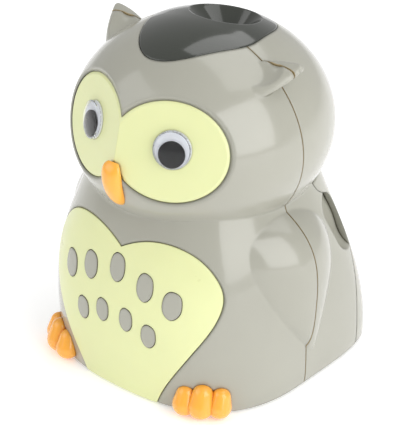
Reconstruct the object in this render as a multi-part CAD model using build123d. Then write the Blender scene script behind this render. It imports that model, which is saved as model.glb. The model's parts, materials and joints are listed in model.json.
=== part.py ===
from build123d import *
import math
import os

os.makedirs("parts", exist_ok=True)

# Owl-shaped desk pencil sharpener, millimetres.  The owl faces -Y, up is +Z and the table is z = 0.
# The two case shells meet on the plane y = 0.  x = 0 is the mirror plane of the outside.

# ---- driving sizes ---------------------------------------------------------------------------
SEAM = 0.15            # half of the gap between the case shells
WALL = 2.5             # case wall
FRONT_WALL = 3.9       # thicker front wall, pocketed for the heart panel
Z_BASE = 1.2           # lower edge of the shells, held off the table by the rubber feet

HEAD_Z = 102.5         # centre of the head
HEAD_RX, HEAD_RZ = 51.8, 43.2
HEAD_REAR = 55.4       # depth of the head behind the seam; ahead of it the plan is round

# body sections: height, half width, depth ahead of the seam, depth behind it, rear squareness
BODY = [
    (Z_BASE, 55.2, 50.4, 56.0, 5.4),
    (15.0, 55.7, 52.3, 55.2, 5.2),
    (32.0, 55.3, 53.0, 51.8, 4.8),
    (46.0, 53.8, 51.8, 48.6, 4.2),
    (58.0, 50.8, 49.6, 46.8, 3.6),
    (70.0, 46.6, 46.2, 45.2, 3.2),
    (84.0, 41.5, 41.0, 42.0, 3.0),
]
FRONT_POWER = 2.6

# wing sections: height, outermost x, centre y, half length
WING = [
    (11.0, 51.0, 4.5, 3.0),
    (17.0, 56.4, 3.5, 9.5),
    (24.0, 58.4, 2.0, 17.0),
    (33.0, 59.7, 0.5, 25.5),
    (44.0, 60.4, 0.0, 32.0),
    (56.0, 59.8, -0.3, 34.0),
    (66.0, 56.0, -1.2, 32.0),
    (74.0, 48.0, -2.5, 27.0),
    (80.0, 39.0, -3.5, 20.0),
]
WING_CORE = 18.0       # x of the wing's section centres, deep inside the body

FACET_YAW = math.radians(25.1)
FACET_TIP = math.radians(13.7)
FACET = 44.7           # head centre to each flat of the face
PLATE = 1.8            # depth the face and heart panels are let in
PLATE_FULL = 2.15      # thickness of the face panel, standing proud of the head
LINE = 0.25            # parting line round an inset panel

PX, PY = 0.0, 17.5     # pencil axis
BORE_R = 4.1
FUNNEL_R = 14.2
EDGE_Y = 36.4          # front edge of the drawer on the sides

MODULE = 0.8
ROTOR_TEETH, SMALL_TEETH, BIG_TEETH, MOTOR_TEETH = 60, 12, 26, 10
GEAR_CLEAR = 0.12      # taken off each tooth flank and tip


def save(node, shape, name):
    shape = Compound(children=[s for s in shape.solids()]) if len(shape.solids()) > 1 else shape.solids()[0]
    shape.label = name
    export_step(shape, f"parts/{node}.step")
    print(node, round(shape.volume, 1), len(shape.solids()))


def at(x, y, z):
    return Location((x, y, z))


def block(x0, x1, y0, y1, z0, z1):
    return at((x0 + x1) / 2, (y0 + y1) / 2, (z0 + z1) / 2) * Box(abs(x1 - x0), abs(y1 - y0), abs(z1 - z0))


def rod(x, y, z0, z1, r):
    return at(x, y, (z0 + z1) / 2) * Cylinder(r, z1 - z0)


def rod_x(x0, x1, y, z, r):
    return Location(((x0 + x1) / 2, y, z), (0, 90, 0)) * Cylinder(r, x1 - x0)


def rod_y(x, y0, y1, z, r):
    return Location((x, (y0 + y1) / 2, z), (90, 0, 0)) * Cylinder(r, y1 - y0)


def tube(x, y, z0, z1, r_out, r_in):
    return rod(x, y, z0, z1, r_out) - rod(x, y, z0 - 1, z1 + 1, r_in)


# ---- outer form ------------------------------------------------------------------------------
def half_oval(r, half_long):
    """Right half of an upright ellipse in the XZ plane."""
    return Plane.XZ * (Ellipse(r, half_long) & (Pos(r, 0) * Rectangle(2 * r, 4 * half_long)))


def egg_solid(r_low, r_high, rise):
    """Rounded peg about Z: a ball at the origin, a smaller ball above it, and the cone tangent to both."""
    lean = math.asin((r_low - r_high) / rise)
    c, s = math.cos(lean), math.sin(lean)
    low_mid = (math.pi / 2 - lean) / 2
    high_mid = lean + (math.pi / 2 - lean) / 2
    low_end = (r_low * c, 0, r_low * s)
    high_start = (r_high * c, 0, rise + r_high * s)
    low_on = (r_low * math.cos(low_mid - lean), 0, -r_low * math.sin(low_mid - lean))
    high_on = (r_high * math.cos(high_mid), 0, rise + r_high * math.sin(high_mid))
    low = ThreePointArc((0, 0, -r_low), low_on, low_end)
    high = ThreePointArc(high_start, high_on, (0, 0, rise + r_high))
    face = make_face([low.edge(), Line(low_end, high_start).edge(), high.edge(),
                      Line((0, 0, rise + r_high), (0, 0, -r_low)).edge()])
    return revolve(face, axis=Axis.Z, revolution_arc=360)


def head(grow=0.0):
    """Front and rear halves; the rear one is moved back by a short straight stretch."""
    r = HEAD_RX + grow
    rz = HEAD_RZ + grow
    back = HEAD_REAR - HEAD_RX
    oval = half_oval(r, rz)
    front = at(0, 0, HEAD_Z) * revolve(oval, axis=Axis.Z, revolution_arc=-180)
    rear = at(0, back, HEAD_Z) * revolve(oval, axis=Axis.Z, revolution_arc=180)
    middle = extrude(oval + oval.mirror(Plane.YZ), amount=back, dir=(0, 1, 0))
    return front, rear + at(0, 0, HEAD_Z) * middle


def half_section(z, a, b, power, sign):
    points = []
    for i in range(13):
        t = math.pi * i / 12
        c = math.cos(t)
        s = math.sin(t)
        x = math.copysign(abs(c) ** (2 / power), c) * a
        points.append((x, sign * b * max(s, 0.0) ** (2 / power) if 0 < i < 12 else 0.0, z))
    curve = Spline(*points, tangents=[(0, sign, 0), (0, -sign, 0)])
    return make_face([curve, Line(points[-1], points[0])])


def body(front, grow=0.0, z_from=None):
    sections = []
    for z, a, b_front, b_rear, power in BODY:
        if front:
            sections.append(half_section(z, a + grow, b_front + grow, FRONT_POWER, -1))
        else:
            sections.append(half_section(z, a + grow, b_rear + grow, power, 1))
    solid = loft(sections)
    if z_from is not None:
        z, a, b_front, b_rear, power = BODY[0]
        y = -(b_front + grow) if front else b_rear + grow
        side = half_section(z, a + grow, abs(y), FRONT_POWER if front else power, -1 if front else 1)
        solid = solid + extrude(side, amount=z - z_from, dir=(0, 0, -1))
    return solid


def facet_plane(side, offset):
    n = Vector(
        side * math.sin(FACET_YAW) * math.cos(FACET_TIP),
        -math.cos(FACET_YAW) * math.cos(FACET_TIP),
        math.sin(FACET_TIP),
    )
    down = Vector(0, 0, -1)
    x_dir = n.cross(down).normalized()
    return Plane(origin=Vector(0, 0, HEAD_Z) + n * offset, x_dir=x_dir, z_dir=n)


def beyond_facets(offset):
    slabs = []
    for side in (1, -1):
        slabs.append(facet_plane(side, offset) * at(0, 0, 30) * Box(160, 160, 60))
    return slabs[0], slabs[1]


def wing(side):
    sections = []
    for z, x_out, y_mid, half in WING:
        sections.append(at(side * WING_CORE, y_mid, z) * Ellipse(x_out - WING_CORE, half))
    return loft(sections)


EAR_ROOT = (24.4, -15.2, 132.9)
EAR_TIP = (46.8, 3.5, 138.5)
EAR_UP = (0.133, -0.429, 0.894)       # square to the ear's hollow face
EAR_SECTIONS = [(0.0, 13.4, 6.0), (0.38, 9.4, 4.2), (0.68, 6.6, 2.9), (0.88, 3.8, 2.1), (0.97, 2.1, 1.6)]
EAR_HOLLOW = (0.50, 12.9, 15.0)       # place along the ear, height above its face, ball radius


def ear(side):
    root, tip, up = [Vector(side * x, y, z) for x, y, z in (EAR_ROOT, EAR_TIP, EAR_UP)]
    axis = (tip - root).normalized()
    across = up.cross(axis).normalized()
    sections = []
    for t, wide, thick in EAR_SECTIONS:
        plane = Plane(origin=root + (tip - root) * t, x_dir=across, z_dir=axis)
        sections.append(plane * at(0, 0.3 - thick, 0) * Ellipse(wide, thick))
    horn = loft(sections)
    horn = horn + plane * at(0, 0.3 - thick, 0) * Sphere(1.7)
    t, height, radius = EAR_HOLLOW
    hollow = Plane(origin=root + (tip - root) * t, x_dir=across, z_dir=axis)
    return horn - hollow * at(0, height, 0) * Sphere(radius)


def grown(points, grow):
    """Closed outline, listed counter-clockwise, with every point pushed outward."""
    moved = []
    for i, (u, v) in enumerate(points):
        u0, v0 = points[i - 1]
        u1, v1 = points[(i + 1) % len(points)]
        step = math.hypot(u1 - u0, v1 - v0)
        moved.append((u + grow * (v1 - v0) / step, v - grow * (u1 - u0) / step))
    return moved


# cap outline in plan, right half from the front point to the rear one
CAP_HALF = [(0, -28.2), (6.4, -26.4), (12.3, -21.4), (18.4, -12.3), (22.2, -4.2), (23.5, 2.5), (22.6, 10.5),
            (20.6, 19.0), (17.0, 26.8), (10.5, 31.8), (0, 33.2)]


def cap_prism(grow):
    ring = grown(CAP_HALF + [(-x, y) for x, y in reversed(CAP_HALF[1:-1])], grow)
    face = make_face(Spline(*[(x, y, 120) for x, y in ring], periodic=True))
    return extrude(face, amount=40, dir=(0, 0, 1))


# heart outline in elevation, right half: the long side up from the base, then the lobe to the notch
HEART_HALF = [(18.4, 0.0), (22.6, 9.0), (29.3, 20.2), (36.3, 31.8), (41.2, 42.0), (42.3, 52.5),
              (38.6, 61.0), (31.5, 68.2), (23.2, 71.4), (14.0, 71.3), (4.5, 68.0), (0, 65.4)]


def heart(grow, y_from=-70, y_to=-20):
    ring = grown(HEART_HALF + [(-x, z) for x, z in reversed(HEART_HALF[:-1])], grow)
    notch = len(HEART_HALF) - 1
    right = Spline(*[(x, y_to, z) for x, z in ring[:notch + 1]])
    left = Spline(*[(x, y_to, z) for x, z in ring[notch:]])
    base = Line((ring[-1][0], y_to, ring[-1][1]), (ring[0][0], y_to, ring[0][1]))
    return extrude(make_face([right, left, base]), amount=y_to - y_from, dir=(0, -1, 0))


# feather spots: x, z, width, height
SPOTS = [(0, 57.0, 7.2, 11.4), (14.2, 53.1, 7.2, 11.4), (-14.2, 53.1, 7.2, 11.4),
         (26.4, 48.6, 7.4, 11.4), (-26.4, 48.6, 7.4, 11.4),
         (6.2, 36.6, 6.2, 9.8), (-6.2, 36.6, 6.2, 9.8), (17.3, 33.0, 6.4, 9.8), (-17.3, 33.0, 6.4, 9.8)]


def egg(x, z, wide, tall, grow):
    w = wide / 2 + grow
    h = tall / 2 + grow
    half = [(0.0, 1.0), (0.82, 0.66), (1.0, 0.15), (0.80, -0.62), (0.0, -1.0)]
    ring = half + [(-u, v) for u, v in reversed(half[1:-1])]
    curve = Spline(*[(x + u * w, -20, z + v * h) for u, v in ring], periodic=True)
    return extrude(make_face(curve), amount=50, dir=(0, -1, 0))


def spots(grow):
    return [egg(x, z, w, h, grow) for x, z, w, h in SPOTS]


def drawer_side(shift=0.0):
    """Region behind the drawer's front edge, seen from the side."""
    s = shift
    low = (0, EDGE_Y + s, -5)
    knee = (0, EDGE_Y + s, 44)
    lip = Spline(knee, (0, 36.9 + s, 54), (0, 34.6 + s, 64.5), (0, 30.0 + s, 71.5), (0, 24.0 + s, 74.6),
                 (0, 20.0 + s, 79.5), (0, 18.6 + s, 86))
    face = make_face([
        Line(low, knee), lip,
        Line((0, 18.6 + s, 86), (0, 80, 86)),
        Line((0, 80, 86), (0, 80, -5)),
        Line((0, 80, -5), low),
    ])
    return extrude(face, amount=80, both=True)


SCOOP_LOW, SCOOP_HIGH = (51.0, 35.5, 57.0), (47.5, 31.5, 67.0)
SCOOP_R = 10.0


def scoop(side, grow=0.0):
    """Long finger hollow ahead of the drawer's edge."""
    low = Vector(side * SCOOP_LOW[0], SCOOP_LOW[1], SCOOP_LOW[2])
    high = Vector(side * SCOOP_HIGH[0], SCOOP_HIGH[1], SCOOP_HIGH[2])
    r = SCOOP_R + grow
    run = Plane(origin=(low + high) / 2, z_dir=high - low) * Cylinder(r, (high - low).length)
    return run + Location(low) * Sphere(r) + Location(high) * Sphere(r)


print("outer form")
head_front, head_rear = head()
body_front, body_rear = body(True), body(False)
slab_r, slab_l = beyond_facets(FACET)
keep_front = block(-90, 90, -90, -SEAM, Z_BASE, 200)
keep_rear = block(-90, 90, SEAM, 90, Z_BASE, 200)

outer_front = head_front - slab_r - slab_l
outer_front = outer_front + body_front
outer_rear = head_rear + body_rear
in_head_front, in_head_rear = head(-WALL)
in_slab_r, in_slab_l = beyond_facets(FACET - PLATE - 2.1)
in_body_front = body(True, -FRONT_WALL, z_from=0.0)
in_body_rear = body(False, -WALL, z_from=0.0)
cavity_front = (in_head_front - in_slab_r - in_slab_l) + in_body_front
cavity_rear = in_head_rear + in_body_rear
print("shells")

front_shell = outer_front & keep_front
rear_shell = (outer_rear & keep_rear) - cavity_rear
for relief in (wing(1), wing(-1), ear(1), ear(-1)):
    front_shell = front_shell + (relief & keep_front)
for side in (1, -1):
    for relief in (wing(side), ear(side)):
        rear_shell = rear_shell + ((relief & keep_rear) - cavity_rear)
front_shell = front_shell - cavity_front

# pockets for the inset panels
ledge_front, ledge_rear = head(-2.0)
cap_pocket = cap_prism(LINE)
cap_opening = cap_prism(-3.2)
pocket_limit = head(-0.9)[0]
plate_limit = head(-0.9 - LINE)[0]
face_pocket = None
face_plate = None
for side in (1, -1):
    half = block(0, side * 90, -90, 0, 60, 160)
    deep = facet_plane(side, FACET - PLATE) * at(0, 0, 6) * Box(160, 160, 12)
    thin = facet_plane(side, FACET - PLATE + 0.02) * at(0, 0, PLATE_FULL / 2) * Box(160, 160, PLATE_FULL)
    pocket = (pocket_limit & deep) & half
    flat = (plate_limit & thin) & half
    face_pocket = pocket if face_pocket is None else face_pocket + pocket
    face_plate = flat if face_plate is None else face_plate + flat
front_shell = front_shell - ((cap_pocket & head_front) - ledge_front) - (cap_opening & head_front)
rear_shell = rear_shell - ((cap_pocket & head_rear) - ledge_rear) - (cap_opening & head_rear)
front_shell = front_shell - face_pocket
print("pockets")

front_shell = front_shell - (heart(LINE) - body(True, -PLATE))
spot_boss = None
for boss in spots(0.0):
    piece = (boss & body(True, 0.55)) - body(True, -PLATE - 0.6)
    spot_boss = piece if spot_boss is None else spot_boss + piece
front_shell = front_shell + spot_boss
belly_plate = (heart(0.0) & body(True, 0.3)) - body(True, -PLATE + 0.02)
belly_plate = belly_plate & block(-60, 60, -90, 0, Z_BASE, 100)
for hole in spots(LINE):
    belly_plate = belly_plate - hole
print("front panels")

# top cap with its pencil funnel
cap = None
for top, under in zip(head(0.25), head(-1.98)):
    sheet = (cap_prism(0.0) & top) - under
    cap = sheet if cap is None else cap + sheet
cap = cap + ((at(PX, PY, 137.5) * Cone(6.6, 16.6, 11) + rod(PX, PY, 128.3, 133, 6.6)) & head(-0.5)[1])
throat = [(0, 150), (FUNNEL_R + 1.6, 150), (FUNNEL_R + 1.2, 143.6), (FUNNEL_R - 0.6, 141.4), (6.3, 134.4),
          (5.9, 133.6), (BORE_R, 133.6), (BORE_R, 125), (0, 125)]
profile = make_face(Polyline(*[(PX + r, PY, z) for r, z in throat], close=True))
cap = cap - revolve(profile, axis=Axis((PX, PY, 0), (0, 0, 1)), revolution_arc=360)
print("cap")

# ---- drawer and rear shell -------------------------------------------------------------------
rear_shell = rear_shell - (drawer_side(0.0) - head_rear)
for side in (1, -1):
    rear_shell = rear_shell - scoop(side)
    cup = (scoop(side, 2.2) & body_rear) - scoop(side) - drawer_side(0.0)
    rear_shell = rear_shell + cup
print("rear shell")

BIN_X, BIN_TOP, BIN_T = 37.0, 60.0, 1.8
BIN_STEP, BIN_LOW_Y, BIN_HIGH_Y = 24.0, 20.0, 2.0   # upper half reaches forward over the batteries
edge = drawer_side(0.3)
skin = ((body_rear & edge) - body(False, -WALL)) & block(-90, 90, 0, 90, Z_BASE + 0.6, 100)
skin = skin - head(0.4)[1]
bin_out = block(-BIN_X, BIN_X, BIN_LOW_Y, 70, 3.6, BIN_TOP)
bin_out = bin_out + block(-BIN_X, BIN_X, BIN_HIGH_Y, 70, BIN_STEP, BIN_TOP)
bin_in = block(-BIN_X + BIN_T, BIN_X - BIN_T, BIN_LOW_Y + BIN_T, 70, 3.6 + BIN_T, 90)
bin_in = bin_in + block(-BIN_X + BIN_T, BIN_X - BIN_T, BIN_HIGH_Y + BIN_T, 70, BIN_STEP + BIN_T, 90)
drawer = skin + (bin_out & body(False, -1.5)) - (bin_in & body(False, -WALL + 0.05))
print("drawer")

# ---- beak and feet ---------------------------------------------------------------------------
# beak stations down its middle: y, z, half width, half depth
BEAK = [(-50.9, 103.8, 2.4, 0.9), (-52.0, 102.2, 3.9, 1.9), (-52.4, 98.6, 4.4, 2.9),
        (-51.4, 93.6, 4.2, 3.3), (-49.2, 88.6, 3.5, 2.8), (-47.2, 85.4, 2.1, 1.7), (-46.2, 84.0, 0.8, 0.7)]
beak_sections = []
for i, (y, z, wide, deep) in enumerate(BEAK):
    y0, z0 = BEAK[max(i - 1, 0)][:2]
    y1, z1 = BEAK[min(i + 1, len(BEAK) - 1)][:2]
    run = Vector(0, y1 - y0, z1 - z0).normalized()
    station = Plane(origin=(0, y, z), x_dir=(1, 0, 0), z_dir=run)
    beak_sections.append(station * make_face(Ellipse(wide, deep).edges()))
beak = loft(beak_sections)
beak = beak - outer_front - face_plate
beak = beak + rod_y(0, -52.0, -45.5, 96.0, 1.6)
beak_hole = rod_y(0, -60.0, -45.4, 96.0, 1.6)
front_shell = front_shell - beak_hole
face_plate = face_plate - beak_hole

# toes: centre of the lower ball, its radius, radius of the upper ball and rise between them
TOES = [((31.8, -47.5, 5.4), 4.9, 3.9, 4.2),
        ((38.4, -45.3, 5.8), 5.3, 4.2, 5.2),
        ((43.9, -40.3, 5.4), 4.9, 3.9, 4.2)]
TOE_LEAN = 13.0        # degrees the toes lean back against the body


def foot(side):
    toes = None
    for (x, y, z), r_low, r_high, rise in TOES:
        toe = Location((side * x, y, z), (-TOE_LEAN, 0, 0)) * egg_solid(r_low, r_high, rise)
        toes = toe if toes is None else toes + toe
    return (toes - body_front) + rod_y(side * 38.0, -45.0, -37.6, 7.0, 2.0)


left_foot, right_foot = foot(1), foot(-1)
for side in (1, -1):
    front_shell = front_shell - rod_y(side * 38.0, -60.0, -30.0, 7.0, 2.0)
print("beak and feet")

# ---- eyes ------------------------------------------------------------------------------------
EYE = (20.2, -40.0, 111.4)
EYE_R, PUPIL_R, PUPIL_HANG = 7.5, 5.2, 1.75
eye_parts = {}


def cap_of(r, z0, z_rim, z_top):
    """Round disc with a domed top."""
    rise = z_top - z_rim
    radius = (r * r + rise * rise) / (2 * rise)
    return rod(0, 0, z0, z_top + 1, r) & (at(0, 0, z_top - radius) * Sphere(radius))


for name, side in (("left", 1), ("right", -1)):
    plane = facet_plane(side, FACET + 0.37)
    spot = plane.to_local_coords(Vector(side * EYE[0], EYE[1], EYE[2]))
    seat = plane * at(spot.X, spot.Y, 0)
    eye_parts[name + "_eye_back"] = seat * at(0, 0, 0.4) * Cylinder(EYE_R, 0.8)
    eye_parts[name + "_pupil"] = seat * at(0, -PUPIL_HANG, 1.35) * Cylinder(PUPIL_R, 0.7)
    dome = cap_of(EYE_R, 0.8, 1.7, 3.7) - cap_of(EYE_R - 0.5, 0.5, 1.75, 3.2)
    eye_parts[name + "_eye_dome"] = seat * dome

# ---- base and batteries ----------------------------------------------------------------------
BASE_TOP = 3.4
z0, half_wide, front_deep, rear_deep, power = BODY[0]
ahead = half_section(Z_BASE, half_wide - 4.2, front_deep - 4.2, FRONT_POWER, -1)
behind = half_section(Z_BASE, half_wide - 2.9, rear_deep - 2.9, power, 1)
base_plate = extrude(ahead, amount=BASE_TOP - Z_BASE, dir=(0, 0, 1))
base_plate = base_plate + extrude(behind, amount=BASE_TOP - Z_BASE, dir=(0, 0, 1))
CELL_R, CELL_LONG, CELL_Z = 7.25, 50.5, 11.0
CELL_X = [-21.9, -7.3, 7.3, 21.9]
BAY_X, BAY_FRONT, BAY_BACK, BAY_TOP = 31.3, -36.5, 17.0, 21.0
bay_box = block(-BAY_X - 1.5, BAY_X + 1.5, BAY_FRONT - 1.5, BAY_BACK + 1.3, 3.0, BAY_TOP + 1.3)
base_plate = base_plate + bay_box - block(-BAY_X, BAY_X, BAY_FRONT, BAY_BACK, 0, BAY_TOP)
HINGE_Y, HINGE_Z = -35.2, 2.2
door = block(-BAY_X + 0.3, BAY_X - 0.3, HINGE_Y - 0.55, BAY_BACK - 0.3, Z_BASE, 3.2)
door = door - block(-7, 7, BAY_BACK - 3.0, BAY_BACK - 1.0, 0, 2.0)
for x0, x1 in ((-BAY_X - 1.2, -BAY_X + 1.5), (BAY_X - 1.5, BAY_X + 1.2)):
    door = door + rod_x(x0, x1, HINGE_Y, HINGE_Z, 0.8)
    middle = math.copysign(BAY_X, x0)
    base_plate = base_plate - rod_x(middle - 1.4, middle + 1.4, HINGE_Y, HINGE_Z, 0.86)

SCREW_SPOTS = [(43.5, -16.0), (43.5, 12.0)]
FOOT_SPOTS = [(37.8, -25.6), (38.0, 43.0)]
screws, feet = [], []
for x, y in SCREW_SPOTS:
    shell_boss = rod(x, y, BASE_TOP + 0.05, 15, 3.6) - rod(x, y, 0, 13, 1.35)
    for s in (1, -1):
        base_plate = base_plate - rod(s * x, y, 0, 2.3, 3.2) - rod(s * x, y, 0, 5, 1.7)
        boss = at((s - 1) * x, 0, 0) * shell_boss
        rib = block(s * x + s * 3, s * 54, y - 0.9, y + 0.9, BASE_TOP + 0.6, 14)
        if y < 0:
            rib = rib & body(True, -1.5)
            front_shell = front_shell + boss + rib
        else:
            rib = rib & body(False, -1.2)
            rear_shell = rear_shell + boss + rib
        screws.append(rod(s * x, y, 1.35, 2.3, 2.9) + rod(s * x, y, 2.3, 12.5, 1.35))
for x, y in FOOT_SPOTS:
    for s in (1, -1):
        base_plate = base_plate - rod(s * x, y, 0, 2.0, 5.1)
        feet.append(rod(s * x, y, 0, 2.0, 5.0))
cells, contacts = [], []
for i, x in enumerate(CELL_X):
    nose = 1 if i % 2 else -1
    y_mid = (BAY_FRONT + BAY_BACK) / 2
    can = rod_y(x, y_mid - CELL_LONG / 2, y_mid + CELL_LONG / 2 - 1.3, CELL_Z, CELL_R)
    can = can + rod_y(x, y_mid + CELL_LONG / 2 - 1.4, y_mid + CELL_LONG / 2, CELL_Z, 2.7)
    if nose < 0:
        can = can.mirror(Plane.XZ.offset(-y_mid))
    cells.append(can)
    plus_y = BAY_BACK - 0.6 if nose > 0 else BAY_FRONT + 0.6
    minus_y = BAY_FRONT + 0.6 if nose > 0 else BAY_BACK - 0.6
    for y, sprung in ((plus_y, False), (minus_y, True)):
        wall = BAY_BACK if y > 0 else BAY_FRONT
        plate = block(x - 4.5, x + 4.5, y, wall, 6.5, 15.5)
        if sprung:
            toward = -1 if y > 0 else 1
            tip = y + toward * 0.85
            plate = plate + rod_y(x, min(y, tip), max(y, tip), CELL_Z, 3.4)
        contacts.append(plate)
print("base")

# ---- mechanism plates ------------------------------------------------------------------------
PLATE_Z, PLATE_T = 72.0, 3.0
TOP_Z, TOP_T = 121.0, 2.5
POSTS = [(30.0, 29.0), (31.0, -14.0)]


def plate(z, t, y0, y1):
    return at(0, (y0 + y1) / 2, z) * extrude(RectangleRounded(68, y1 - y0, 9), amount=t)


IX, IY = -17.0, -5.75
drive_gap = MODULE * (BIG_TEETH + MOTOR_TEETH) / 2
MOTOR_TURN = math.radians(-25.8)
MX = IX + drive_gap * math.cos(MOTOR_TURN)
MY = IY + drive_gap * math.sin(MOTOR_TURN)
MOTOR_R = 12.0
COLLAR_IN, COLLAR_OUT = 15.0, 17.0

lower_plate = plate(PLATE_Z, PLATE_T, -32, 33) + rod(PX, PY, PLATE_Z, 81.3, COLLAR_OUT)
lower_plate = lower_plate - rod(PX, PY, PLATE_Z + PLATE_T, 90, COLLAR_IN) - rod(PX, PY, 60, 90, 12.4)
lower_plate = lower_plate + rod(IX, IY, PLATE_Z, 75.8, 2.6) - rod(IX, IY, 60, 90, 1.5)
lower_plate = lower_plate + rod(MX, MY, PLATE_Z, 75.6, 2.4) - rod(MX, MY, PLATE_Z + 1.0, 90, 1.06)
upper_plate = plate(TOP_Z, TOP_T, -24, 33) + block(-8, 8, 30, 40, TOP_Z, TOP_Z + TOP_T)
upper_plate = upper_plate - rod(PX, PY, 100, 140, 9.0)
mech_screws = []
for x, y in POSTS:
    for s in (1, -1):
        upper_plate = upper_plate + (rod(s * x, y, 75.0, TOP_Z + 0.2, 3.0) - rod(s * x, y, 70, 84, 1.2))
        lower_plate = lower_plate - rod(s * x, y, 60, 90, 1.4) - rod(s * x, y, 60, PLATE_Z + 1.3, 2.5)
        mech_screws.append(rod(s * x, y, 71.6, PLATE_Z + 1.3, 2.3) + rod(s * x, y, PLATE_Z + 1.3, 82, 1.2))
LUGS = [(31.0, -21.5, True), (31.0, 11.0, False)]
for x, y, front in LUGS:
    for s in (1, -1):
        lug = block(s * 27, s * 52, y - 4.5, y + 4.5, 64, PLATE_Z)
        lug = (lug & body(front, -1.4)) - rod(s * x, y, 60, 90, 1.2)
        if front:
            front_shell = front_shell + lug
        else:
            rear_shell = rear_shell + lug
        lower_plate = lower_plate - rod(s * x, y, 60, 90, 1.4)
        mech_screws.append(rod(s * x, y, 75.0, 76.2, 2.3) + rod(s * x, y, 65.0, 75.0, 1.2))

# shell joining screws, side of the head, driven from behind
JOIN_X, JOIN_Z = 38.5, 95.0
case_screws = []
for s in (1, -1):
    boss = rod_y(s * JOIN_X, -15, -SEAM, JOIN_Z, 3.4) - rod_y(s * JOIN_X, -13, 0, JOIN_Z, 1.3)
    web = block(s * 41, s * 50, -14, -SEAM, JOIN_Z - 1, JOIN_Z + 1) & head(-1.2)[0]
    front_shell = front_shell + boss + web
    well = rod_y(s * JOIN_X, SEAM, 60, JOIN_Z, 4.2) & head(-0.6)[1]
    web = block(s * 41, s * 50, SEAM, 24, JOIN_Z - 1, JOIN_Z + 1) & head(-1.2)[1]
    rear_shell = rear_shell + well + web
    rear_shell = rear_shell - rod_y(s * JOIN_X, 5, 60, JOIN_Z, 2.9) - rod_y(s * JOIN_X, -1, 60, JOIN_Z, 1.5)
    case_screws.append(rod_y(s * JOIN_X, 5, 6.8, JOIN_Z, 2.6) + rod_y(s * JOIN_X, -11, 5, JOIN_Z, 1.3))
print("plates")


# ---- gears -----------------------------------------------------------------------------------
def gear(teeth, module, height, tooth_at, clear=GEAR_CLEAR, tip=1.0, root=1.25):
    r = teeth * module / 2
    flank = math.tan(math.radians(20))
    points = []
    for i in range(teeth):
        a = tooth_at + 2 * math.pi * i / teeth
        for level, sign in ((-root, -1), (tip, -1), (tip, 1), (-root, 1)):
            radius = r + level * module - (clear if level > 0 else 0)
            half = (math.pi * module / 4 - clear - level * module * flank) / radius
            points.append((radius * math.cos(a + sign * half), radius * math.sin(a + sign * half)))
    return extrude(make_face(Polyline(*points, close=True)), amount=height)


to_idler = math.atan2(IY - PY, IX - PX)
to_motor = math.atan2(MY - IY, MX - IX)
rotor_gear = at(PX, PY, 81.5) * gear(ROTOR_TEETH, MODULE, 4.5, to_idler)
small = at(IX, IY, 80.0) * gear(SMALL_TEETH, MODULE, 6.0, to_idler + math.pi + math.pi / SMALL_TEETH)
big = at(IX, IY, 76.0) * gear(BIG_TEETH, MODULE, 4.0, to_motor)
compound_gear = small + big - rod(IX, IY, 70, 90, 1.56)
idler_pin = rod(IX, IY, PLATE_Z + 0.2, 88.5, 1.5) + rod(IX, IY, 86.2, 87.4, 2.4)
motor_pinion = at(MX, MY, 76.0) * gear(MOTOR_TEETH, MODULE, 4.0, to_motor + math.pi + math.pi / MOTOR_TEETH)
motor_pinion = motor_pinion - rod(MX, MY, 70, 90, 1.0)
motor_shaft = rod(MX, MY, PLATE_Z + 1.2, 118, 1.0)
motor = rod(MX, MY, 90.0, TOP_Z, MOTOR_R) + rod(MX, MY, 88.0, 90.0, 4.0) - rod(MX, MY, 80, 119, 1.06)
motor = motor & (rod(MX, MY, 80, 89.9, 20) + block(MX - 20, MX + 20, MY - 9.6, MY + 9.6, 89.9, 130))

# ---- cutter ----------------------------------------------------------------------------------
TILT = math.radians(8.4)
MESH_Z, MESH_R = 115.0, 9.85
CUT_R, PEN_R = 5.4, 4.2
cut_frame = Location((PX + MESH_R, PY, MESH_Z), (0, math.degrees(TILT), 0))


def along(z_low, z_high, r):
    return cut_frame * at(0, 0, (z_low + z_high) / 2) * Cylinder(r, z_high - z_low)


carrier = rotor_gear + rod(PX, PY, 75.1, 82, COLLAR_IN - 0.08) + rod(PX, PY, 85.9, 119.3, 13.4)
hollow = [(0, 74), (12.3, 74), (12.3, 90), (5.0, 98), (PEN_R, 104), (PEN_R, 125), (0, 125)]
hollow = make_face(Polyline(*[(PX + r, PY, z) for r, z in hollow], close=True))
carrier = carrier - revolve(hollow, axis=Axis((PX, PY, 0), (0, 0, 1)), revolution_arc=360)
carrier = carrier + (block(PX + 1.6, PX + 13, PY - 3.0, PY + 3.0, 81.5, 86.4) & rod(PX, PY, 80, 90, 13))
carrier = carrier - along(-28.4, 2.3, 6.5)
carrier = carrier - along(-33, 3.9, 1.5)
carrier = carrier - (rod(PX, PY, 111.0, 117.2, 20) & block(PX - 1, PX + 30, PY - 20, PY + 20, 105, 117.2))
cutter_pin = along(-32.5, 3.8, 1.5)
cutter = along(-28.2, -3.4, CUT_R) + along(-3.5, -1.2, 3.2)
CUTTER_TEETH, RING_TEETH = 10, 30
cutter_gear = cut_frame * at(0, 0, -1.3) * gear(CUTTER_TEETH, 1.0, 2.6, 0.0, clear=0.14)
GROOVES = 9
for i in range(GROOVES):
    start = 2 * math.pi * i / GROOVES
    path = []
    for j in range(7):
        a = start + 0.28 * j
        path.append((CUT_R * math.cos(a), CUT_R * math.sin(a), -28.9 + 26.0 * j / 6))
    line = Spline(*path)
    cutter = cutter - cut_frame * sweep(Plane(origin=line @ 0, z_dir=line % 0) * Circle(0.55), path=line)
cutter = cutter + cutter_gear - along(-40, 10, 1.56)
ring_gear = rod(PX, PY, 112.8, TOP_Z, 18.6) - rod(PX, PY, 117.6, 130, 14.4)
ring_teeth = at(PX, PY, 110) * gear(RING_TEETH, 1.0, 9.0, 0.0, clear=-0.16, tip=1.2, root=1.0)
ring_gear = ring_gear - ring_teeth
print("cutter")

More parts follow.
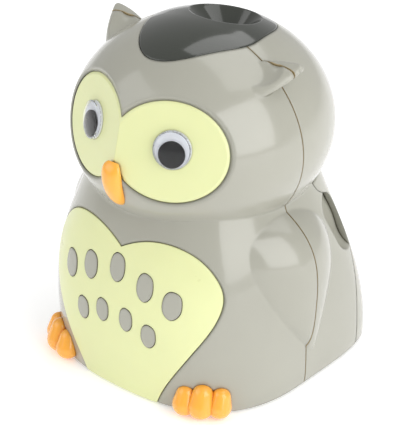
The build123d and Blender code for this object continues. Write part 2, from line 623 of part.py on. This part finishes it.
# ---- pencil guide and switches ---------------------------------------------------------------
GUIDE_R = 4.9          # wider than the cap's bore, so the pencil is led by the cap and the carrier
guide = tube(PX, PY, 119.7, 127.9, 8.9, GUIDE_R) + tube(PX, PY, TOP_Z + TOP_T, 125.4, 10.8, 8.0)
guide = guide - block(-1.9, 1.9, PY, 40, TOP_Z + TOP_T, 130)
PIV_Y, PIV_Z = 31.0, 126.4
lever = block(-1.5, 1.5, PY + PEN_R - 0.9, PIV_Y, 125.5, 127.3) + rod_x(-1.5, 1.5, PIV_Y, PIV_Z, 2.2)
lever = lever + block(-1.5, 1.5, PIV_Y - 0.9, PIV_Y + 0.9, 123.9, 126) - rod_x(-3, 3, PIV_Y, PIV_Z, 1.05)
lug = block(2.0, 4.5, PIV_Y - 2.5, PIV_Y + 2.5, TOP_Z + TOP_T, 128.6)
upper_plate = upper_plate + lug + block(-2.0, -4.5, PIV_Y - 2.5, PIV_Y + 2.5, TOP_Z + TOP_T, 128.6)
upper_plate = upper_plate - rod_x(-4.5, 4.5, PIV_Y, PIV_Z, 1.0)
lever_pin = rod_x(-4.5, 4.5, PIV_Y, PIV_Z, 1.0)
pencil_switch = block(-4, 4, 34.0, 39.5, TOP_Z + TOP_T, 128.2)
reed_switch = block(-8, 8, -8.0, -0.5, BAY_TOP + 1.3, 28.0)
magnet = block(-4, 4, 0.3, 2.0, 25.0, 27.9)


NODES = {
    "front_shell": front_shell,
    "rear_shell": rear_shell,
    "top_cap": cap,
    "face_plate": face_plate,
    "belly_plate": belly_plate,
    "beak": beak,
    "left_foot": left_foot,
    "right_foot": right_foot,
    "base_plate": base_plate,
    "battery_door": door,
    "battery_cells": Compound(children=cells),
    "battery_contacts": Compound(children=contacts),
    "rubber_feet": Compound(children=feet),
    "base_screws": Compound(children=screws),
    "case_screws": Compound(children=case_screws),
    "mechanism_screws": Compound(children=mech_screws),
    "shavings_drawer": drawer,
    "lower_plate": lower_plate,
    "upper_plate": upper_plate,
    "motor": motor,
    "motor_shaft": motor_shaft,
    "motor_pinion": motor_pinion,
    "compound_gear": compound_gear,
    "compound_pin": idler_pin,
    "cutter_carrier": carrier,
    "cutter_pin": cutter_pin,
    "helical_cutter": cutter,
    "ring_gear": ring_gear,
    "pencil_guide": guide,
    "pencil_lever": lever,
    "pencil_lever_pin": lever_pin,
    "pencil_switch": pencil_switch,
    "drawer_switch": reed_switch,
    "drawer_magnet": magnet,
}
NODES.update(eye_parts)
for node, shape in NODES.items():
    save(node, shape, node)
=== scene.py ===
import json
import math

import bpy
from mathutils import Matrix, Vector

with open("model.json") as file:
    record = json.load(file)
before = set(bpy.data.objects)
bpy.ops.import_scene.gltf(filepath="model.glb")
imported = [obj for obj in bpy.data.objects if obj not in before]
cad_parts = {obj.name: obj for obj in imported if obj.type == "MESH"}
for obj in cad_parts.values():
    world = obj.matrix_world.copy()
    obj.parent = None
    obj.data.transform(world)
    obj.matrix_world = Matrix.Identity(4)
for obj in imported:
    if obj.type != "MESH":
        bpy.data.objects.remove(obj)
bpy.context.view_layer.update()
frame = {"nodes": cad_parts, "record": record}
nodes = frame["nodes"]

# ---- driving values ---------------------------------------------------------------------------
CAMERA_AZIMUTH = math.radians(40.0)
CAMERA_RISE = math.radians(29.0)
CAMERA_AT = Vector((0.449, -0.532, 0.4462))
LENS_MM = 165.3
SENSOR_MM = 36.0
FLOOR_REACH = 3.0
FLOOR_GLOW = 0.30
WORLD_LIGHT = 0.52
BEVEL_SAMPLES = 6
CREVICE_SHADE_SAMPLES = 8
SEAM_WIDTH = 0.00034
# painted shade: how far the ambient occlusion reaches when it darkens crevices
GAP_SHADE_REACH = 0.0012
SHELL = (0.365, 0.36, 0.305)
SEAM_TAN = (0.34, 0.25, 0.11)
# painted shade: dark olive laid into the grey shell's crevices
OLIVE_GAP_SHADE = (0.10, 0.085, 0.03)
CAP = (0.030, 0.034, 0.026)
CREAM = (0.73, 0.76, 0.40)
# painted shade: dark colour laid into the cream panels' crevices
CREAM_GAP_SHADE = (0.16, 0.13, 0.02)
ORANGE = (1.0, 0.43, 0.045)
# painted shade: deeper orange laid into the orange trim's creases
ORANGE_GAP_SHADE = (0.80, 0.25, 0.02)
# name, place, aim, size and power in watts of each soft light
SOFTBOXES = (
    ("softbox_right", (0.95, -0.10, 0.55), (0, 0, 0.07), (0.9, 1.0), 7.5),
    ("softbox_left", (-0.75, -0.95, 0.85), (0, 0, 0.08), (1.4, 1.2), 6.0),
    ("softbox_top", (0.10, 0.45, 1.0), (0, 0, 0.1), (1.0, 0.7), 3.0),
)


# ---- small helpers for shader graphs ----------------------------------------------------------
class Graph:
    """A material's node tree, with short ways to add and join nodes."""

    def __init__(self, name):
        self.material = bpy.data.materials.new(name)
        self.material.use_nodes = True
        self.tree = self.material.node_tree
        self.shader = self.tree.nodes["Principled BSDF"]
        self.coords = self.tree.nodes.new("ShaderNodeTexCoord").outputs["Object"]

    def node(self, kind, **values):
        made = self.tree.nodes.new(kind)
        for key, value in values.items():
            if key in made.inputs:
                made.inputs[key].default_value = value
            else:
                setattr(made, key, value)
        return made

    def join(self, source, target):
        self.tree.links.new(source, target)

    def set(self, **values):
        for key, value in values.items():
            self.shader.inputs[key.replace("_", " ")].default_value = value

    def noise(self, scale, detail=2.0, rough=0.5, stretch=(1, 1, 1)):
        mapping = self.node("ShaderNodeMapping")
        mapping.inputs["Scale"].default_value = stretch
        self.join(self.coords, mapping.inputs["Vector"])
        made = self.node("ShaderNodeTexNoise", Scale=scale, Detail=detail, Roughness=rough)
        self.join(mapping.outputs["Vector"], made.inputs["Vector"])
        return made.outputs["Fac"]

    def span(self, value, low, high, out_low, out_high):
        made = self.node("ShaderNodeMapRange")
        made.inputs["From Min"].default_value = low
        made.inputs["From Max"].default_value = high
        made.inputs["To Min"].default_value = out_low
        made.inputs["To Max"].default_value = out_high
        self.join(value, made.inputs["Value"])
        return made.outputs["Result"]

    def ramp(self, value, stops):
        made = self.node("ShaderNodeValToRGB")
        ramp = made.color_ramp
        while len(ramp.elements) < len(stops):
            ramp.elements.new(0.5)
        for element, (place, color) in zip(ramp.elements, stops):
            element.position = place
            element.color = (*color, 1.0)
        self.join(value, made.inputs["Fac"])
        return made.outputs["Color"]

    def bump(self, value, strength, distance, edge=0.0):
        """Bumps over the surface; edge softens the sharp corners by that radius."""
        made = self.node("ShaderNodeBump", Strength=strength, Distance=distance)
        self.join(value, made.inputs["Height"])
        if edge:
            soft = self.node("ShaderNodeBevel", Radius=edge)
            soft.samples = BEVEL_SAMPLES
            self.join(soft.outputs["Normal"], made.inputs["Normal"])
        return made.outputs["Normal"]

    def mix(self, factor, first, second):
        made = self.node("ShaderNodeMix", data_type="RGBA")
        self.join(factor, made.inputs["Factor"])
        for value, socket in ((first, made.inputs[6]), (second, made.inputs[7])):
            if isinstance(value, tuple):
                socket.default_value = (*value, 1.0)
            else:
                self.join(value, socket)
        return made.outputs[2]

    def crevice_shade(self, reach):
        """1 in the open, falling towards 0 down in gaps and corners; the mask that lays painted shade
        into them.
        """
        made = self.node("ShaderNodeAmbientOcclusion", Distance=reach)
        made.samples = CREVICE_SHADE_SAMPLES
        return self.span(made.outputs["AO"], 0.30, 0.80, 0.0, 1.0)

    def near_seam(self, width):
        """1 beside the plane where the two case shells meet."""
        split = self.node("ShaderNodeSeparateXYZ")
        self.join(self.coords, split.inputs["Vector"])
        size = self.node("ShaderNodeMath", operation="ABSOLUTE")
        self.join(split.outputs["Y"], size.inputs[0])
        return self.span(size.outputs["Value"], width * 0.8, width, 1.0, 0.0)


def mixed(color, factor):
    return tuple(min(1.0, c * factor) for c in color)


def plastic(name, color, rough=0.16, vary=0.05, coat=0.35, under=0.0, grain=0.0, edge=0.0005,
            gap_shade=None, seam=None):
    """Moulded plastic: slight colour drift, flow marks in the gloss, softened edges, painted shade in the
    gaps.
    """
    g = Graph(name)
    drift = [(0.30, mixed(color, 1 - vary)), (0.70, mixed(color, 1 + vary))]
    surface = g.ramp(g.noise(22.0, 3.0, 0.55), drift)
    if seam:
        surface = g.mix(g.near_seam(SEAM_WIDTH), surface, seam)
    # painted shade: crevices found by ambient occlusion take the dark gap colour
    if gap_shade:
        surface = g.mix(g.crevice_shade(GAP_SHADE_REACH), gap_shade, surface)
    g.join(surface, g.shader.inputs["Base Color"])
    gloss = g.span(g.noise(90.0, 4.0, 0.6), 0.3, 0.7, rough * 0.8, rough * 1.25)
    g.join(gloss, g.shader.inputs["Roughness"])
    g.set(IOR=1.5, Coat_Weight=coat, Coat_Roughness=0.05)
    if under:
        g.set(Subsurface_Weight=under, Subsurface_Radius=(0.004, 0.003, 0.0015), Subsurface_Scale=0.6)
    if grain:
        normal = g.bump(g.noise(2600.0, 2.0, 0.5), grain, 0.0002, edge)
    else:
        normal = g.bump(g.noise(30.0, 2.0, 0.5), 0.05, 0.001, edge)
    g.join(normal, g.shader.inputs["Normal"])
    if coat:
        g.join(normal, g.shader.inputs["Coat Normal"])
    return g.material


def metal(name, color, rough=0.28, stretch=(1, 1, 1), scale=900.0, strength=0.15):
    """Brushed or turned metal: fine scratches along one direction."""
    g = Graph(name)
    lines = g.noise(scale, 3.0, 0.6, stretch)
    tone = g.ramp(lines, [(0.3, mixed(color, 0.85)), (0.7, mixed(color, 1.1))])
    g.join(tone, g.shader.inputs["Base Color"])
    g.join(g.span(lines, 0.3, 0.7, rough * 0.7, rough * 1.3), g.shader.inputs["Roughness"])
    g.set(Metallic=1.0)
    g.join(g.bump(lines, strength, 0.0002), g.shader.inputs["Normal"])
    return g.material


def clear_plastic(name):
    g = Graph(name)
    g.join(g.span(g.noise(60.0), 0.3, 0.7, 0.01, 0.04), g.shader.inputs["Roughness"])
    g.set(Base_Color=(1, 1, 1, 1), IOR=1.25, Transmission_Weight=1.0)
    return g.material


# the gap colours passed below are painted shade, laid into crevices by ambient occlusion
MATERIALS = {
    "shell_grey": plastic("shell_grey", SHELL, rough=0.20, vary=0.03, coat=0.5, edge=0.0016,
                          gap_shade=OLIVE_GAP_SHADE, seam=SEAM_TAN),
    "cap_dark": plastic("cap_dark", CAP, rough=0.12, vary=0.08, coat=0.6, edge=0.0009),
    "panel_cream": plastic("panel_cream", CREAM, rough=0.34, vary=0.03, coat=0.2, under=0.10,
                           gap_shade=CREAM_GAP_SHADE),
    "trim_orange": plastic("trim_orange", ORANGE, rough=0.20, vary=0.03, coat=0.6, under=0.10,
                           gap_shade=ORANGE_GAP_SHADE),
    "eye_white": plastic("eye_white", (0.86, 0.89, 0.95), rough=0.4, vary=0.02, coat=0.0),
    "pupil_black": plastic("pupil_black", (0.003, 0.003, 0.004), rough=0.5, vary=0.2, coat=0.0),
    "eye_clear": clear_plastic("eye_clear"),
    "base_dark": plastic("base_dark", (0.035, 0.035, 0.032), rough=0.5, vary=0.08, coat=0.0,
                         grain=0.35),
    "cell_jacket": plastic("cell_jacket", (0.05, 0.06, 0.08), rough=0.25, vary=0.1),
    "contact_metal": metal("contact_metal", (0.75, 0.74, 0.70), 0.25),
    "foot_rubber": plastic("foot_rubber", (0.02, 0.02, 0.02), rough=0.7, vary=0.15, coat=0.0,
                           grain=0.5),
    "screw_steel": metal("screw_steel", (0.55, 0.55, 0.56), 0.32),
    "chassis_white": plastic("chassis_white", (0.68, 0.68, 0.62), rough=0.42, vary=0.04, coat=0.0,
                             grain=0.15),
    "motor_can": metal("motor_can", (0.60, 0.60, 0.62), 0.3, stretch=(1, 1, 8)),
    "shaft_steel": metal("shaft_steel", (0.62, 0.62, 0.63), 0.22),
    "pinion_brass": metal("pinion_brass", (0.74, 0.52, 0.22), 0.3),
    "gear_white": plastic("gear_white", (0.74, 0.74, 0.68), rough=0.38, vary=0.03, coat=0.0,
                          under=0.2),
    "cutter_steel": metal("cutter_steel", (0.36, 0.36, 0.38), 0.35),
    "guide_black": plastic("guide_black", (0.02, 0.02, 0.02), rough=0.45, vary=0.1, coat=0.0,
                           grain=0.2),
    "magnet_nickel": metal("magnet_nickel", (0.70, 0.69, 0.66), 0.2),
}
for entry in frame["record"]["subparts"]:
    piece = nodes[entry["node"]]
    piece.data.materials.clear()
    piece.data.materials.append(MATERIALS[entry["material_slot"]])

# ---- camera -----------------------------------------------------------------------------------
back = Vector((math.sin(CAMERA_AZIMUTH) * math.cos(CAMERA_RISE),
               -math.cos(CAMERA_AZIMUTH) * math.cos(CAMERA_RISE),
               math.sin(CAMERA_RISE)))
camera_data = bpy.data.cameras.new("camera")
camera_data.sensor_width = SENSOR_MM
camera_data.lens = LENS_MM
camera = bpy.data.objects.new("camera", camera_data)
bpy.context.scene.collection.objects.link(camera)
camera.location = CAMERA_AT
camera.rotation_mode = "QUATERNION"
camera.rotation_quaternion = (-back).to_track_quat("-Z", "Y")
bpy.context.scene.camera = camera

# ---- floor, backdrop and light ----------------------------------------------------------------
floor_mesh = bpy.data.meshes.new("floor")
corners = [(x * FLOOR_REACH, y * FLOOR_REACH, 0) for x, y in ((-1, -1), (1, -1), (1, 1), (-1, 1))]
floor_mesh.from_pydata(corners, [], [(0, 1, 2, 3)])
floor = bpy.data.objects.new("floor", floor_mesh)
bpy.context.scene.collection.objects.link(floor)
paper = Graph("paper")
paper.join(paper.ramp(paper.noise(6.0), [(0.3, (0.93, 0.93, 0.93)), (0.7, (0.96, 0.96, 0.96))]),
           paper.shader.inputs["Base Color"])
paper.join(paper.span(paper.noise(40.0), 0.3, 0.7, 0.75, 0.9), paper.shader.inputs["Roughness"])
paper.set(Emission_Color=(1.0, 1.0, 1.0, 1.0), Emission_Strength=FLOOR_GLOW)
floor_mesh.materials.append(paper.material)

world = bpy.data.worlds.new("studio")
world.use_nodes = True
world.node_tree.nodes["Background"].inputs["Color"].default_value = (1.0, 1.0, 1.0, 1.0)
world.node_tree.nodes["Background"].inputs["Strength"].default_value = WORLD_LIGHT
bpy.context.scene.world = world
bpy.context.scene.view_settings.view_transform = "Standard"


def lamp(name, place, aim, size, power):
    data = bpy.data.lights.new(name, "AREA")
    data.shape = "RECTANGLE"
    data.size, data.size_y = size
    data.energy = power
    made = bpy.data.objects.new(name, data)
    bpy.context.scene.collection.objects.link(made)
    made.location = place
    made.rotation_mode = "QUATERNION"
    made.rotation_quaternion = (Vector(aim) - Vector(place)).to_track_quat("-Z", "Y")


for softbox in SOFTBOXES:
    lamp(*softbox)
